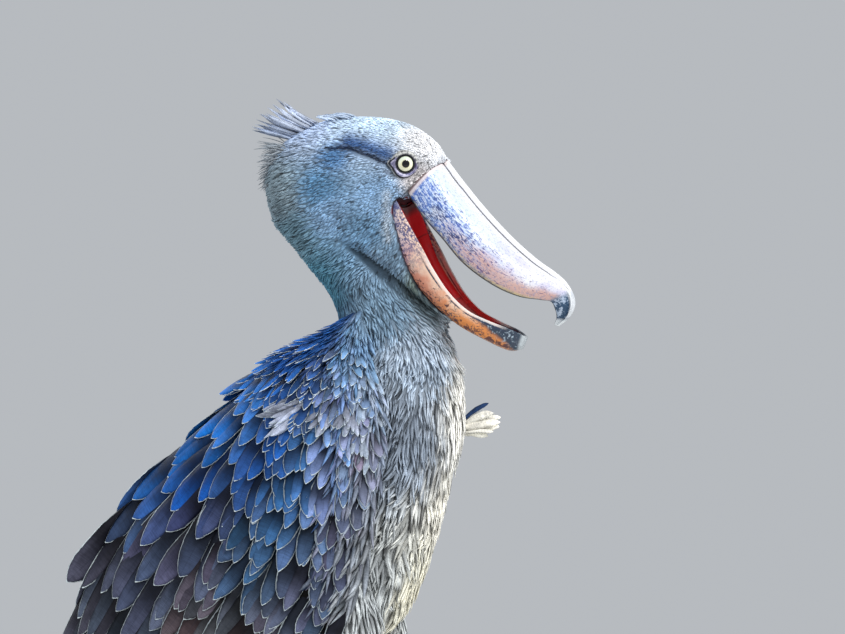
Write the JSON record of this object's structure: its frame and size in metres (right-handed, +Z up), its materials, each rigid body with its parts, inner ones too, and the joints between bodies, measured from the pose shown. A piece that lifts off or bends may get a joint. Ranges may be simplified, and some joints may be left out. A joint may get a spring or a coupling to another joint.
{
  "type": "standing shoebill bird, life-size still model",
  "caption": "Life-size shoebill standing on both feet, wings folded, shaggy crest, huge hooked bill held a little open, as a still museum-like model.",
  "frame": {"origin": "on the floor, under the middle of the bird's bounding box", "axes": "+X forward along the bill, +Y to the bird's left, +Z up; the feet stand on Z = 0"},
  "size_m": [0.6389, 0.2933, 1.1978],
  "materials": {
    "head_feathers": "short soft slate-blue feathers with pale tips",
    "body_feathers": "long loose pale-grey feathers with dark streaks",
    "wing_feathers": "slate-blue vanes with thin whitish edges, satin",
    "thigh_feathers": "soft pale-grey feathers",
    "bill_upper_horn": "pale horn with blue-grey blotches, satin",
    "bill_lower_horn": "pink-tan horn with dark blotches, satin",
    "eye": "pale yellow iris and black pupil under a clear gloss",
    "leg_skin": "dark grey scaly skin, matte",
    "mouth_skin": "red wet lining, satin",
    "claw_horn": "black horn, satin"
  },
  "bodies": {
    "root": {"torso": "body_feathers", "tail": "wing_feathers", "neck": "head_feathers", "head": "head_feathers", "bill_upper": "bill_upper_horn", "bill_lower": "bill_lower_horn", "eye_left": "eye", "eye_right": "eye", "wing_left": "wing_feathers", "wing_right": "wing_feathers", "thigh_left": "thigh_feathers", "thigh_right": "thigh_feathers", "shank_left": "leg_skin", "shank_right": "leg_skin", "foot_left": "leg_skin", "foot_right": "leg_skin"}
  },
  "joints": []
}
